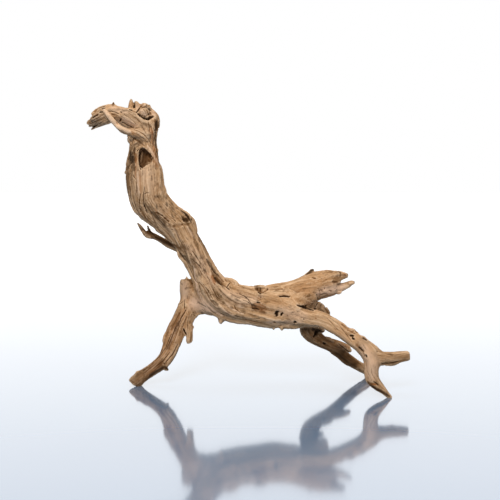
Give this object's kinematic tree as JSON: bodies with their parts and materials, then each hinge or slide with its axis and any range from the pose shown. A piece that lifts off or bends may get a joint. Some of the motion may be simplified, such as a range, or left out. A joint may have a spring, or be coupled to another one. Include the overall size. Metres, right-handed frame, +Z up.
{
  "type": "driftwood piece",
  "caption": "Branching natural driftwood: a hollowed, leaning stem with a hooked, splintered head, standing on splayed root legs.",
  "frame": {"origin": "on the floor, under the middle of the piece's box", "axes": "+Z up; +X to the right of the front view, from the hooked head towards the forked legs; +Y away from the front view"},
  "size_m": [0.4682, 0.131, 0.4257],
  "materials": {
    "sand_worn_wood": "raw, dry and sand-worn, matte, with open grain furrows and no coating"
  },
  "bodies": {
    "root": {"driftwood": "sand_worn_wood"}
  },
  "joints": []
}
